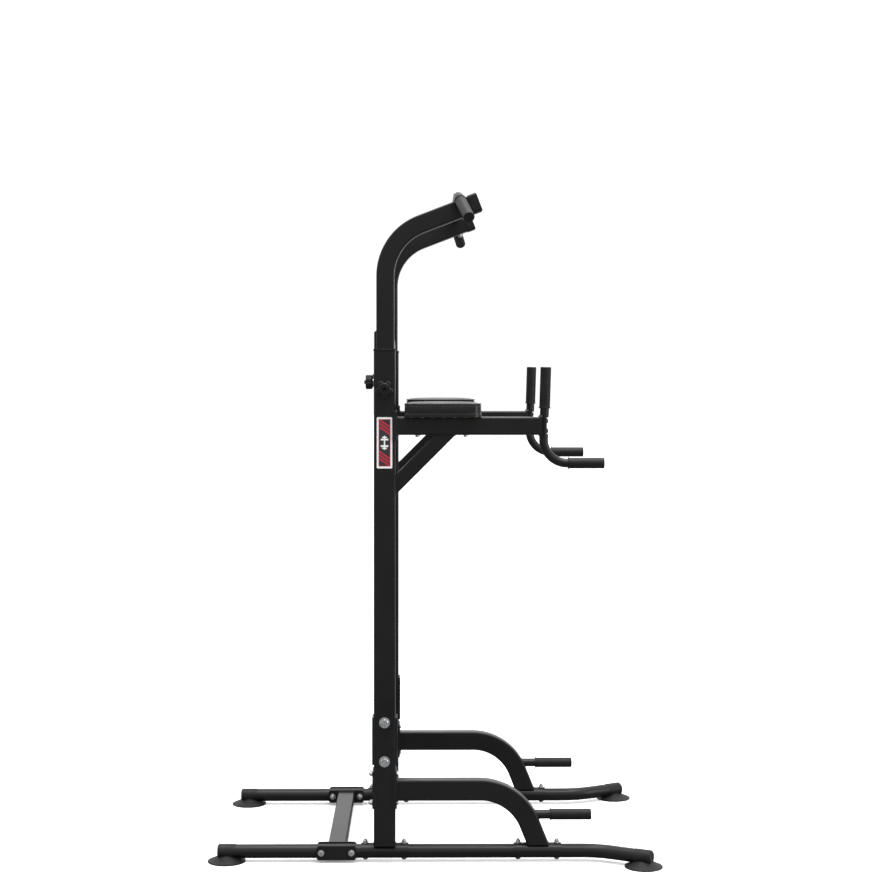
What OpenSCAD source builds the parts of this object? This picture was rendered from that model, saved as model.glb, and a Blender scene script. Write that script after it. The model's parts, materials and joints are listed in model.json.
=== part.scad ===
// Power tower: a free-standing pull-up, dip and push-up station with a telescoping mast.
// Millimetres. +Z is up, the front is -Y, and the origin is on the floor at the middle of the frame.
// Each piece is drawn for the right side (+X) and mirrored for the left one.

/* [Overall] */
// Distance between the middles of the left and right uprights
frame_w = 640; // [560:10:700]
// How far behind the middle of the frame the uprights stand
post_y = 137; // [120:1:160]

/* [Base] */
// Outer diameter of the round base rails
rail_d = 38; // [32:1:42]
// Height of the middle of the rails above the floor
rail_z = 28; // [25:1:30]
// Distance of each foot in front of and behind the middle
foot_y = 577; // [540:1:620]
// Angle at which the front of each rail turns outward
flare_angle = 28; // [10:1:35]
// Bend radius of the rails
flare_r = 190; // [150:5:220]
// Where the outward bend of the rails starts, in front of the middle
flare_start = 408; // [400:1:420]
// Diameter of the rubber cup under each foot
foot_d = 105; // [80:1:120]
// How far behind the middle the rear cross beam lies
beam_y = 271; // [250:1:300]

/* [Uprights] */
// Outer width of the square upright tube
post_w = 60; // [58:1:64]
// Height of the joint between base post and upright
joint_z = 337; // [320:1:350]
// Height of the top of the upright tube
post_top = 1421; // [1400:1:1450]
// Height of the end brackets of the lower cross member
bracket_h = 131; // [120:1:140]

/* [Mast] */
// Outer width of the square mast tube
mast_w = 50; // [48:1:50]
// Height at which the mast starts to bend forward
mast_bend_z = 1629; // [1600:1:1700]
// Angle of the forward bend of the mast
mast_angle = 69; // [60:1:80]
// Bend radius of the mast
mast_r = 155; // [150:5:200]
// Length of the mast past its bend, with the end cap
mast_reach = 173; // [150:1:200]
// Height of the lower end of the mast tubes
mast_bottom = 1050; // [1040:1:1060]
// Distance between the height adjustment holes
hole_pitch = 65; // [60:1:70]

/* [Pull-up bar] */
// Diameter of the bar
bar_d = 28; // [25:1:32]
// Distance from the middle to each corner of the bar
bar_corner_x = 387; // [380:1:420]
// Distance from the middle to each end of the bar
bar_end_x = 515; // [500:1:540]
// Angle at which the ends of the bar drop
bar_drop = 30; // [15:1:35]

/* [Arms] */
// Outer width of the square arm tube
arm_w = 50; // [40:1:50]
// Height of the middle of the arms
arm_z = 1212; // [1150:1:1230]
// Distance of the front end of the arm tube in front of the middle
arm_front = 293; // [280:1:320]
// Height at which the strut meets the upright
strut_z = 1048; // [1030:1:1060]
// Length of the elbow pads
pad_l = 215; // [180:1:240]
// Width of the elbow pads
pad_w = 120; // [90:1:130]
// Thickness of a pad with its board
pad_t = 41; // [35:1:50]

/* [Handles] */
// Diameter of the dip handle tube
handle_d = 25; // [22:1:28]
// Height of the lower, level part of the dip handle
handle_low_z = 1108; // [1095:1:1115]
// Height of the top of the dip handle
handle_top_z = 1376; // [1350:1:1390]
// Angle by which the upper part of the dip handle leans forward
handle_lean = 1.8; // [0:0.1:2]
// Outer diameter of the rubber grips
grip_d = 30; // [28:1:34]
// Length of a hand grip
grip_l = 115; // [100:1:118]

/* [J-braces] */
// Height of the brace tube
brace_h = 57; // [50:1:60]
// Width of the brace tube
brace_w = 40; // [35:1:50]
// Height of the middle of the level part of the brace
brace_z = 200; // [198:1:206]
// Angle through which the brace bends down
brace_angle = 68; // [60:1:75]
// Bend radius of the brace
brace_r = 151; // [145:1:155]

/* [Back pad] */
// Width of the back pad
back_w = 300; // [240:10:400]
// Height of the lower edge of the back pad
back_low = 1242; // [1240:1:1260]
// Height of the upper edge of the back pad
back_top = 1478; // [1440:1:1500]

/* [Hidden] */
$fn = 48;

black = "#232426";
plastic = "#1b1b1d";
rubber = "#1e1e20";
vinyl = "#262628";
zinc = "#c9ccd0";
wood = "#c8a878";
white = "#f2f2f2";

side_x = frame_w / 2;
wall = 2;
play = 0.25;
post_half = post_w / 2;
post_front = post_y - post_half;
post_back = post_y + post_half;
rail_r = rail_d / 2;
saddle_t = 3.5;
saddle_r = rail_r + saddle_t;
saddle_l = 132;
saddle_hole = 54;
saddle_low = rail_z + 4;
plate_t = 4;
plate_lip = 8;

// Each straight reaches this far into its bend, and a bend is this much thinner than the straights,
// so that the two meet in a clean step that is too fine to see
lap = 1;
hair = 0.02;
brace_hair = 0.2;

m8 = 8;
pin_d = 10;
m12 = 12;
thread_play = 0.1;

// Feet: the sleeve reaches this far to each side of the cup's middle, and the rail stops inside it
sleeve_half = 25;
sleeve_r = rail_r + 1;
rail_stop = 20;
flare_x = flare_r * (1 - cos(flare_angle));
flare_y = flare_r * sin(flare_angle);
flare_run = (foot_y - flare_start - flare_y) / cos(flare_angle);
front_foot_x = side_x + flare_x + flare_run * sin(flare_angle);

// J-brace: the middle of its bend, the end of its bend, and the middle of its foot
brace_bend_y = -126;
brace_bend_z = brace_z - brace_r;
brace_end_y = brace_bend_y - brace_r * sin(brace_angle);
brace_end_z = brace_bend_z + brace_r * cos(brace_angle);
saddle_top = rail_z + saddle_r;
weld_bite = 2.5;
brace_leg = (brace_end_z - saddle_top) / sin(brace_angle);
brace_foot_y = brace_end_y - brace_leg * cos(brace_angle);
brace_plate_low = 153;
brace_plate_top = 255;
brace_bolt_z = [163, 243.5];
push_grip_z = 129;
push_grip_end = -438;
stub_start = -280;

// Mast: its straight end has the direction of the bend's end, and rail_n points up out of it
// The mast leans against the front of the upright, so its middle lies a little further forward
mast_y = post_y - 1.8;
bend_mid_y = mast_y - mast_r;
mast_end_y = bend_mid_y + mast_r * cos(mast_angle);
mast_end_z = mast_bend_z + mast_r * sin(mast_angle);
mast_tilt = 90 - mast_angle;
bar_station = 121;
bar_rise = 30;
cap_l = 26;
bar_slope = (bar_end_x - bar_corner_x) / cos(bar_drop);
bar_bend_r = 90;
bar_tangent = bar_bend_r * tan(bar_drop / 2);
bar_grip_d = 31;
bar_grip_l = 118;
pin_z = 1334;
pin_reach = post_back - mast_y - mast_w / 2 - 0.4;
knob_z = 1314;

beam_w = 50;
beam_h = 30;
beam_plate_l = 110;
beam_plate_h = 40;
beam_hole = 42;

bracket_low = joint_z - bracket_h / 2;
bracket_t = 5;
member_bolt_z = [joint_z - 54, joint_z + 54];

board_t = 12;
board_inset = 3;
pad_y = -25;
pad_bolt_y = [45, -90];
arm_top = arm_z + arm_w / 2;
arm_low = arm_z - arm_w / 2;
end_plate_t = 8;
end_plate_h = 60;
handle_gap = 1.5;
handle_y = -arm_front - handle_d / 2 - handle_gap;
handle_r = 66;
handle_up = handle_top_z - arm_z;
handle_drop = (arm_z - handle_low_z - handle_r - handle_r * sin(handle_lean)) / cos(handle_lean);
handle_bend_y = handle_y - handle_r * cos(handle_lean) + handle_drop * sin(handle_lean);
handle_end = -475;
low_grip_l = 101;
flat_depth = 5;
handle_bolt_z = [arm_z - 14, arm_z + 14];
strut_w = 40;
strut_x = 40;

back_tube_d = 40;
back_tube_front = post_y - back_tube_d / 2;
back_tube_back = post_y + back_tube_d / 2;
channel_w = 40;
channel_d = 16;
channel_x = 75;
channel_top = 1483;
back_screw_z = [1290, 1430];

decal_w = 43;
decal_low = 1095;
decal_h = 142;
decal_t = 0.4;

// ---------- Helpers ----------

module at_left() mirror([1, 0, 0]) children();

module both_sides() {
    children();
    at_left() children();
}

// Stands a drawing of the YZ plane upright: its x is Y, its y is Z, and its thickness is centred on X
module side_view() rotate([90, 0, 90]) children();

module rounded(w, h, r) {
    square([w - 2 * r, h], center = true);
    square([w, h - 2 * r], center = true);
    for (x = [-1, 1], y = [-1, 1])
        translate([x * (w / 2 - r), y * (h / 2 - r)]) circle(r);
}

module tube_profile(w, h, r = 5) difference() {
    rounded(w, h, r);
    rounded(w - 2 * wall, h - 2 * wall, r - wall);
}

// A square tube that stands on z = low
module upright_tube(w, low, top, r = 5)
    translate([0, 0, low]) linear_extrude(top - low) tube_profile(w, w, r);

module rod(d, l) cylinder(d = d, h = l);

// A rod on the local z axis with a tapered end below z = 0, which sits inside the bend that comes before it
module spigot(d, l) rotate_extrude() polygon([[0, -lap], [d / 2 - lap / 2, -lap], [d / 2, 0], [d / 2, l], [0, l]]);

// Points the following shape's +Z along +X, +Y or -Y
module along_x() rotate([0, 90, 0]) children();
module along_y() rotate([-90, 0, 0]) children();
module along_minus_y() rotate([90, 0, 0]) children();

module washer(d, t, wide = 2.2) difference() {
    cylinder(d = wide * d, h = t);
    translate([0, 0, -1]) cylinder(d = d, h = t + 2);
}

module hex_prism(flats, h) cylinder(d = flats / cos(30), h = h, $fn = 6);

// A hexagon with its outer corners turned off, as on a real nut or bolt head
module hex(flats, h) intersection() {
    hex_prism(flats, h);
    union() {
        cylinder(d = flats / cos(30) + 1, h = h * 0.75);
        translate([0, 0, h * 0.75]) cylinder(d1 = flats / cos(30) + 1, d2 = flats * 0.92, h = h * 0.25);
    }
}

module nut(d) difference() {
    hex(1.6 * d, 0.8 * d);
    translate([0, 0, -1]) cylinder(d = d, h = d + 2);
}

module button_head(d) cylinder(d1 = 2 * d, d2 = 1.3 * d, h = 0.5 * d);

// A bolt on the local z axis: head below 0, clamped length above it, then washer, nut and a bare end
module bolt_set(d, grip, head = "hex", washer_t = 1.6, wide = 2.2, tip = 3) {
    nut_z = grip + washer_t;
    union() {
        translate([0, 0, head == "hex" ? -washer_t : 0]) mirror([0, 0, 1]) {
            if (head == "hex") hex(1.6 * d, 0.65 * d);
            else button_head(d);
        }
        translate([0, 0, -washer_t - 0.5]) cylinder(d = d, h = nut_z + 0.8 * d + tip - 0.5 + washer_t);
        translate([0, 0, nut_z + 0.8 * d + tip - 1]) cylinder(d1 = d, d2 = d - 2, h = 1);
    }
    if (head == "hex") translate([0, 0, -washer_t]) washer(d, washer_t, wide);
    translate([0, 0, grip]) washer(d, washer_t, wide);
    translate([0, 0, nut_z]) nut(d);
}

// ---------- Base ----------

// The line of the right rail, as a solid rod of the given diameter that runs past both ends by extra
module rail_line(d, extra) {
    translate([side_x, -flare_start, rail_z]) along_y() spigot(d, flare_start + foot_y + rail_stop + extra);
    translate([side_x + flare_r, -flare_start, rail_z]) rotate([0, 0, 180])
        rotate_extrude(angle = flare_angle) translate([flare_r, 0]) circle(d = d - hair);
    translate([side_x + flare_x, -flare_start - flare_y, rail_z]) rotate([0, 0, flare_angle])
        along_minus_y() spigot(d, flare_run + rail_stop + extra);
}

module saddle_holes(y) for (s = [-1, 1])
    translate([side_x, y + s * saddle_hole, 0]) rod(m8 + 2 * play, 80);

module beam_holes() for (s = [-1, 1])
    translate([side_x - 60, beam_y + s * beam_hole, rail_z]) along_x() rod(m8 + 2 * play, 120);

module rail() color(black) difference() {
    rail_line(rail_d, 0);
    rail_line(rail_d - 4, 1);
    saddle_holes(post_y);
    saddle_holes(brace_foot_y);
    beam_holes();
}
module rail_right() rail();
module rail_left() at_left() rail();

// A foot on its own origin, with the rail coming in from -Y and ending inside the sleeve
module foot() difference() {
    union() {
        rotate_extrude() polygon([
            [0, 4], [24, 4], [46, 0], [foot_d / 2, 0], [foot_d / 2, 3],
            [foot_d / 2 - 4, 4.5], [30, 13], [17, 20], [0, 20],
        ]);
        translate([0, -sleeve_half, rail_z]) along_y() rod(2 * sleeve_r, 2 * sleeve_half - 4);
        translate([0, sleeve_half - 4, rail_z]) along_y() cylinder(r1 = sleeve_r, r2 = sleeve_r - 4, h = 4);
    }
    translate([0, -foot_d, rail_z]) along_y() rod(rail_d, foot_d + rail_stop);
}

module foot_rear_right() color(rubber) translate([side_x, foot_y, 0]) foot();
module foot_rear_left() at_left() foot_rear_right();
module foot_front_right() color(rubber)
    translate([front_foot_x, -foot_y, 0]) rotate([0, 0, 180 + flare_angle]) foot();
module foot_front_left() at_left() foot_front_right();

// A half-round saddle over the right rail, centred on y
module saddle(y) difference() {
    translate([side_x, y - saddle_l / 2, rail_z]) along_y() rod(2 * saddle_r, saddle_l);
    translate([side_x, y - saddle_l, rail_z]) along_y() rod(rail_d, 2 * saddle_l);
    translate([0, y - saddle_l, -1]) cube([2 * side_x, 2 * saddle_l, saddle_low + 1]);
    saddle_holes(y);
}

module member_holes() for (z = member_bolt_z)
    translate([side_x - 60, post_y, z]) along_x() rod(m12 + 2 * play, 120);

module brace_holes() for (z = brace_bolt_z)
    translate([side_x, post_y - 60, z]) along_y() rod(m8 + 2 * play, 120);

module base_post() color(black) difference() {
    union() {
        translate([side_x, post_y, 0]) upright_tube(post_w, saddle_top - weld_bite, joint_z);
        saddle(post_y);
    }
    translate([side_x, post_y - saddle_l, rail_z]) along_y() rod(rail_d, 2 * saddle_l);
    member_holes();
    brace_holes();
}
module base_post_right() base_post();
module base_post_left() at_left() base_post();

// The section of the brace tube, or of the space inside it, made smaller all round by half of less
module brace_profile(solid, less = 0) {
    gap = less + (solid ? 0 : 2 * wall);
    rounded(brace_w - gap, brace_h - gap, 5 - gap / 2);
}

// The right brace in the YZ plane, as its outer shape or as the space inside it
module brace_line(solid) translate([side_x, 0, 0]) {
    translate([0, brace_bend_y - lap, brace_z]) along_y() linear_extrude(lap + post_front - brace_bend_y)
        brace_profile(solid);
    translate([0, brace_bend_y, brace_bend_z]) side_view() rotate([0, 0, 90])
        rotate_extrude(angle = brace_angle) translate([brace_r, 0]) rotate([0, 0, 90])
            brace_profile(solid, brace_hair);
    translate([0, brace_end_y, brace_end_z]) rotate([90 + brace_angle, 0, 0])
        translate([0, 0, -lap]) linear_extrude(lap + brace_leg + brace_h) brace_profile(solid);
}

// A U plate round the front of the right upright, with lips along its sides
module u_plate(low, top) translate([side_x, post_front, low]) difference() {
    translate([-post_half - plate_t, -plate_t, 0]) cube([post_w + 2 * plate_t, plate_t + plate_lip, top - low]);
    translate([-post_half, 0, -1]) cube([post_w, plate_lip + 1, top - low + 2]);
}

module j_brace() color(black) difference() {
    union() {
        difference() {
            brace_line(true);
            brace_line(false);
            translate([0, -2 * foot_y, -brace_h]) cube([2 * side_x, 4 * foot_y, brace_h + saddle_top - weld_bite]);
            translate([0, post_front - plate_t, 0]) cube([2 * side_x, 50, 400]);
        }
        saddle(brace_foot_y);
        u_plate(brace_plate_low, brace_plate_top);
        translate([side_x, stub_start, push_grip_z]) along_minus_y() difference() {
            rod(handle_d, stub_start - push_grip_end - 3);
            translate([0, 0, -1]) rod(handle_d - 4, stub_start - push_grip_end);
        }
    }
    translate([side_x, brace_foot_y - saddle_l, rail_z]) along_y() rod(rail_d, 2 * saddle_l);
    brace_holes();
}
module j_brace_right() j_brace();
module j_brace_left() at_left() j_brace();

module brace_back_plates() color(black) both_sides() difference() {
    translate([0, 2 * post_y, 0]) mirror([0, 1, 0]) u_plate(brace_plate_low, brace_plate_top);
    brace_holes();
}

// A rubber grip on the local z axis: open at 0, closed at its far end, with a collar at each end
module grip(bore, d, l) difference() {
    union() {
        cylinder(d = d + 3, h = 3);
        cylinder(d = d, h = l - 2);
        translate([0, 0, l - 2]) cylinder(d1 = d, d2 = d - 3, h = 2);
    }
    translate([0, 0, -1]) cylinder(d = bore, h = l - 2);
}

module push_up_grip() color(rubber) translate([side_x, push_grip_end + grip_l, push_grip_z])
    along_minus_y() grip(handle_d, grip_d, grip_l);
module push_up_grip_right() push_up_grip();
module push_up_grip_left() at_left() push_up_grip();

// A plate on the YZ plane with round corners, centred on the beam's bolts
module beam_plate(x, t) translate([x, beam_y, rail_z]) side_view() linear_extrude(t) difference() {
    rounded(beam_plate_l, beam_plate_h, 8);
    for (s = [-1, 1]) translate([s * beam_hole, 0]) circle(d = m8 + 2 * play);
}

module rear_cross_beam() color(black) {
    beam_half = side_x - rail_r - plate_t;
    translate([-beam_half, beam_y, rail_z]) side_view() linear_extrude(2 * beam_half)
        tube_profile(beam_w, beam_h, 4);
    both_sides() beam_plate(beam_half, plate_t);
}

module beam_clamp_plates() color(black) both_sides() beam_plate(side_x + rail_r, plate_t);

module lower_cross_member() color(black) {
    member_half = side_x - post_half - bracket_t;
    translate([-member_half, post_y, joint_z]) side_view() linear_extrude(2 * member_half)
        tube_profile(40, 60);
    both_sides() difference() {
        translate([member_half, post_front - bracket_t, bracket_low])
            cube([bracket_t + post_w - 8, post_w + 2 * bracket_t, bracket_h]);
        translate([member_half + bracket_t, post_front, bracket_low - 1])
            cube([post_w, post_w, bracket_h + 2]);
        member_holes();
    }
}

// ---------- Uprights ----------

module splice_sleeve() color(zinc) difference() {
    translate([side_x, post_y, 0]) upright_tube(post_w - 2 * wall - 0.4, joint_z - 75, joint_z + 75, 3);
    member_holes();
}
module splice_sleeve_right() splice_sleeve();
module splice_sleeve_left() at_left() splice_sleeve();

module upright() color(black) difference() {
    translate([side_x, post_y, 0]) upright_tube(post_w, joint_z, post_top);
    member_holes();
    translate([side_x, post_y, knob_z]) along_x() rod(m12 + 2 * play, 60);
    translate([side_x, post_y, pin_z]) along_y() rod(pin_d + 2 * play, 60);
}
module upright_right() upright();
module upright_left() at_left() upright();

module bushing() color(plastic) translate([side_x, post_y, 0]) difference() {
    union() {
        translate([0, 0, post_top - 55]) linear_extrude(55) rounded(post_w - 2 * wall, post_w - 2 * wall, 3.5);
        translate([0, 0, post_top]) linear_extrude(4) rounded(post_w + 3, post_w + 3, 6);
        translate([0, 0, post_top + 4]) linear_extrude(2) rounded(post_w, post_w, 5);
    }
    translate([0, mast_y - post_y, post_top - 56]) linear_extrude(70) rounded(mast_w + 0.8, mast_w + 0.8, 5);
}
module bushing_right() bushing();
module bushing_left() at_left() bushing();

// ---------- Arms ----------

module arm_bolt_holes() for (z = handle_bolt_z)
    translate([side_x, -arm_front - 60, z]) along_y() rod(m8 + 2 * play, 90);

module arm() color(black) difference() {
    union() {
        translate([side_x, -arm_front, arm_z]) along_y() linear_extrude(arm_front + post_front - plate_t)
            tube_profile(arm_w, arm_w);
        u_plate(arm_low - 17, arm_top + 17);
        translate([side_x, -arm_front - end_plate_t, arm_z]) along_y() linear_extrude(end_plate_t)
            rounded(arm_w, end_plate_h, 6);
        strut();
    }
    at_handle() translate([0, 0, -end_plate_h]) rod(handle_d, 2 * end_plate_h);
    arm_bolt_holes();
    for (y = pad_bolt_y) translate([side_x, y, arm_low - 1]) rod(m8 + 2 * play, arm_w + 2);
}

// The 45 degree strut, cut off flush under the arm and against the upright
module strut() intersection() {
    translate([side_x, post_front, strut_z]) rotate([45, 0, 0])
        translate([0, 0, -strut_w]) linear_extrude(400) tube_profile(strut_x, strut_w);
    translate([0, -arm_front, strut_z - 50]) cube([2 * side_x, arm_front + post_front, arm_low - strut_z + 50]);
}
module arm_right() arm();
module arm_left() at_left() arm();

// A plan of the elbow pad: its front corners are rounder than its rear ones
module pad_plan(inset) {
    w = pad_w - 2 * inset;
    l = pad_l - 2 * inset;
    r = 30 - inset;
    s = 8 - inset;
    square([w - 2 * r, l], center = true);
    translate([-w / 2, -l / 2 + r]) square([w, l - r - s]);
    translate([-w / 2 + s, 0]) square([w - 2 * s, l / 2]);
    for (x = [-1, 1]) {
        translate([x * (w / 2 - r), -l / 2 + r]) circle(r);
        translate([x * (w / 2 - s), l / 2 - s]) circle(s);
    }
}

module elbow_pad_board() color(wood) translate([side_x, pad_y, arm_top]) linear_extrude(board_t) difference() {
    pad_plan(board_inset);
    for (y = pad_bolt_y) translate([0, y - pad_y]) circle(d = m8);
}
module elbow_pad_board_right() elbow_pad_board();
module elbow_pad_board_left() at_left() elbow_pad_board();

module elbow_pad() color(vinyl) translate([side_x, pad_y, arm_top]) difference() {
    linear_extrude(pad_t) pad_plan(0);
    translate([0, 0, -1]) linear_extrude(board_t + 1) pad_plan(board_inset);
}
module elbow_pad_right() elbow_pad();
module elbow_pad_left() at_left() elbow_pad();

// ---------- Dip handles ----------

// Moves the following shape to the right dip handle's bolts, with z up along the leaning tube
module at_handle() translate([side_x, handle_y, arm_z]) rotate([handle_lean, 0, 0]) children();

// The line of the right dip handle as a solid rod, from its top down and forward
module handle_line(d, extra) {
    at_handle() translate([0, 0, -handle_drop]) spigot(d, handle_drop + handle_up - 3 + extra);
    translate([side_x, handle_bend_y, handle_low_z + handle_r]) side_view() rotate([0, 0, -90])
        rotate_extrude(angle = 90 + handle_lean) translate([handle_r, 0]) circle(d = d - hair);
    translate([side_x, handle_bend_y, handle_low_z]) along_minus_y()
        spigot(d, handle_bend_y - handle_end - 3 + extra);
}

// The tube is pressed flat in front where its bolts sit, so it has no bore there
module dip_handle() color(black) difference() {
    union() {
        difference() {
            handle_line(handle_d, 0);
            handle_line(handle_d - 4, 1);
        }
        at_handle() translate([0, 0, -arm_w / 2]) rod(handle_d, arm_w);
    }
    translate([side_x - 20, handle_y - handle_d / 2 - 1, arm_low + 2]) cube([40, flat_depth + 1, arm_w - 4]);
    arm_bolt_holes();
}
module dip_handle_right() dip_handle();
module dip_handle_left() at_left() dip_handle();

module dip_grip_upper() color(rubber) at_handle() translate([0, 0, handle_up - grip_l])
    grip(handle_d, grip_d, grip_l);
module dip_grip_upper_right() dip_grip_upper();
module dip_grip_upper_left() at_left() dip_grip_upper();

module dip_grip_lower() color(rubber) translate([side_x, handle_end + low_grip_l, handle_low_z])
    along_minus_y() grip(handle_d, grip_d, low_grip_l);
module dip_grip_lower_right() dip_grip_lower();
module dip_grip_lower_left() at_left() dip_grip_lower();

// ---------- Back pad ----------

// A pressed channel behind the back pad, its web against the board and its flanges to the rear
module back_channel() difference() {
    translate([-channel_w / 2, back_tube_back, arm_low]) cube([channel_w, channel_d, channel_top - arm_low]);
    translate([-channel_w / 2 + wall, back_tube_back + wall, arm_low - 1])
        cube([channel_w - 2 * wall, channel_d, channel_top]);
    translate([0, back_tube_back + channel_d, channel_top]) rotate([45, 0, 0])
        cube([channel_w + 2, 9, 9], center = true);
    for (z = back_screw_z) translate([0, back_tube_back - 1, z]) along_y() rod(6 + 2 * play, 10);
}

module back_frame() color(black) {
    back_half = side_x - post_half;
    translate([-back_half, post_y, arm_z]) side_view() linear_extrude(2 * back_half)
        tube_profile(back_tube_d, arm_w);
    for (s = [-1, 1]) translate([s * channel_x, 0, 0]) back_channel();
}

// The back pad's outline, drawn in the XZ plane
module back_plan(inset) translate([0, (back_low + back_top) / 2])
    rounded(back_w - 2 * inset, back_top - back_low - 2 * inset, 30 - inset);

module back_pad_board() color(wood) difference() {
    translate([0, back_tube_back, 0]) along_minus_y() linear_extrude(board_t) back_plan(board_inset);
    for (s = [-1, 1], z = back_screw_z)
        translate([s * channel_x, back_tube_back - board_t - 1, z]) along_y() rod(6, board_t + 2);
}

module back_pad() color(vinyl) difference() {
    translate([0, back_tube_back, 0]) along_minus_y() linear_extrude(back_tube_d) back_plan(0);
    translate([0, back_tube_back + 1, 0]) along_minus_y() linear_extrude(board_t + 1) back_plan(board_inset);
}

// ---------- Mast ----------

// The section of the mast tube, or of the space inside it, made smaller all round by half of less
module mast_profile(solid, less = 0) {
    gap = less + (solid ? 0 : 2 * wall);
    rounded(mast_w - gap, mast_w - gap, 5 - gap / 2);
}

// The right mast as its outer shape or as the space inside it
module mast_line(solid, extra) translate([side_x, 0, 0]) {
    translate([0, mast_y, mast_bottom - extra]) linear_extrude(mast_bend_z - mast_bottom + extra + lap)
        mast_profile(solid);
    translate([0, bend_mid_y, mast_bend_z]) side_view()
        rotate_extrude(angle = mast_angle) translate([mast_r, 0]) mast_profile(solid, hair);
    translate([0, mast_end_y, mast_end_z]) rotate([mast_angle, 0, 0])
        translate([0, 0, -lap]) linear_extrude(lap + mast_reach - 3 + extra) mast_profile(solid);
}

// Moves the following shape to the bar's seat on the right mast, with z up out of the mast
module at_bar() translate([0, mast_end_y, mast_end_z]) rotate([-mast_tilt, 0, 0])
    translate([0, -bar_station, bar_rise]) children();

module mast_tube() color(black) difference() {
    mast_line(true, 0);
    mast_line(false, 1);
    at_bar() translate([side_x - 50, 0, 0]) along_x() rod(bar_d, 100);
    at_bar() translate([side_x, 0, -bar_rise - 40]) rod(m8 + 2 * play, 80);
    for (k = [-4:3]) translate([side_x, post_y, pin_z + k * hole_pitch]) along_y() rod(pin_d + 1, 60);
}
module mast_tube_right() mast_tube();
module mast_tube_left() at_left() mast_tube();

module mast_end_caps() color(plastic) both_sides() translate([side_x, mast_end_y, mast_end_z])
    rotate([mast_angle, 0, 0]) difference() {
        translate([0, 0, mast_reach - cap_l]) union() {
            linear_extrude(cap_l - 2) rounded(mast_w + 4, mast_w + 4, 7);
            translate([0, 0, cap_l - 2]) linear_extrude(2) rounded(mast_w + 1, mast_w + 1, 6);
        }
        linear_extrude(mast_reach - 3) rounded(mast_w, mast_w, 5);
    }

// The pull-up bar as a solid rod whose dropped ends are l long
module bar_line(d, l) {
    half = bar_corner_x - bar_tangent;
    r = d / 2;
    along_x() rotate_extrude()
        polygon([[0, -half - lap], [r - lap / 2, -half - lap], [r, -half], [r, half], [r - lap / 2, half + lap], [0, half + lap]]);
    both_sides() {
        translate([half, 0, -bar_bend_r]) rotate([90, 0, 0]) rotate([0, 0, 90 - bar_drop])
            rotate_extrude(angle = bar_drop) translate([bar_bend_r, 0]) circle(d = d - hair);
        at_drop(bar_tangent) spigot(d, l);
    }
}

// Moves the following shape to a place on the dropped end of the bar, with z along it
module at_drop(l) translate([bar_corner_x + l * cos(bar_drop), 0, -l * sin(bar_drop)])
    rotate([0, 90 + bar_drop, 0]) children();

module pull_up_bar() color(black) at_bar() difference() {
    bar_line(bar_d, bar_slope - bar_tangent - 3);
    bar_line(bar_d - 2 * wall, bar_slope);
    both_sides() translate([side_x, 0, -bar_d]) rod(m8 + 2 * play, 2 * bar_d);
}

module pull_up_grip() color(rubber) at_bar() at_drop(bar_slope - bar_grip_l) grip(bar_d, bar_grip_d, bar_grip_l);
module pull_up_grip_right() pull_up_grip();
module pull_up_grip_left() at_left() pull_up_grip();

// ---------- Clamp knobs and pull pins ----------

module clamp_nuts() color(black) both_sides() translate([side_x + post_half, post_y, knob_z]) along_x() difference() {
    cylinder(d = 24, h = 10);
    translate([0, 0, -1]) cylinder(d = m12 + thread_play, h = 12);
}

// A five-lobed knob on its threaded stem, which ends just short of the mast
module clamp_knob() color(plastic) translate([side_x + post_half, post_y, knob_z]) along_x() difference() {
    union() {
        translate([0, 0, -post_half + mast_w / 2 + 0.4]) cylinder(d = m12, h = post_half - mast_w / 2 + 14);
        translate([0, 0, 11]) cylinder(d1 = 24, d2 = 36, h = 7);
        translate([0, 0, 18]) cylinder(d = 36, h = 12);
        for (a = [0:72:288]) rotate([0, 0, a]) translate([17, 0, 15]) cylinder(d = 18, h = 13);
        for (a = [0:72:288]) rotate([0, 0, a]) translate([17, 0, 28]) cylinder(d1 = 18, d2 = 14, h = 2);
        translate([0, 0, 30]) cylinder(d1 = 36, d2 = 30, h = 2);
    }
    translate([0, 0, 24]) cylinder(d = 11, h = 20);
}
module clamp_knob_right() clamp_knob();
module clamp_knob_left() at_left() clamp_knob();

module pin_barrels() color(zinc) both_sides() translate([side_x, post_back, pin_z]) along_y() difference() {
    cylinder(d = 20, h = 14);
    translate([0, 0, -1]) cylinder(d = pin_d + thread_play, h = 16);
}

// A pull knob that covers the barrel, on its pin, which ends just short of the mast
module pull_pin() color(plastic) translate([side_x, post_back, pin_z]) along_y() {
    difference() {
        union() {
            translate([0, 0, 3]) cylinder(d1 = 31, d2 = 40, h = 4);
            translate([0, 0, 7]) cylinder(d = 40, h = 14);
            translate([0, 0, 21]) cylinder(d1 = 40, d2 = 34, h = 2);
        }
        translate([0, 0, 2]) cylinder(d = 22, h = 14);
        for (a = [0:45:315]) rotate([0, 0, a]) translate([21.5, 0, 2]) cylinder(d = 6, h = 22);
    }
    translate([0, 0, -pin_reach]) cylinder(d = pin_d, h = pin_reach + 27);
}
module pull_pin_right() pull_pin();
module pull_pin_left() at_left() pull_pin();

// ---------- Fasteners ----------

module saddle_bolt(y) translate([side_x, y, rail_z - rail_r])
    bolt_set(m8, rail_r + saddle_r, "button", tip = 4);

module saddle_bolts() color(zinc) both_sides()
    for (y = [post_y, brace_foot_y], s = [-1, 1]) saddle_bolt(y + s * saddle_hole);

module cross_beam_bolts() color(zinc) both_sides() for (s = [-1, 1])
    translate([side_x + rail_r + plate_t, beam_y + s * beam_hole, rail_z]) rotate([0, -90, 0])
        bolt_set(m8, rail_d + 2 * plate_t);

module cross_member_bolts() color(zinc) both_sides() for (z = member_bolt_z)
    translate([side_x + post_half, post_y, z]) rotate([0, -90, 0])
        bolt_set(m12, post_w + bracket_t, washer_t = 2.5, wide = 2.5);

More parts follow.
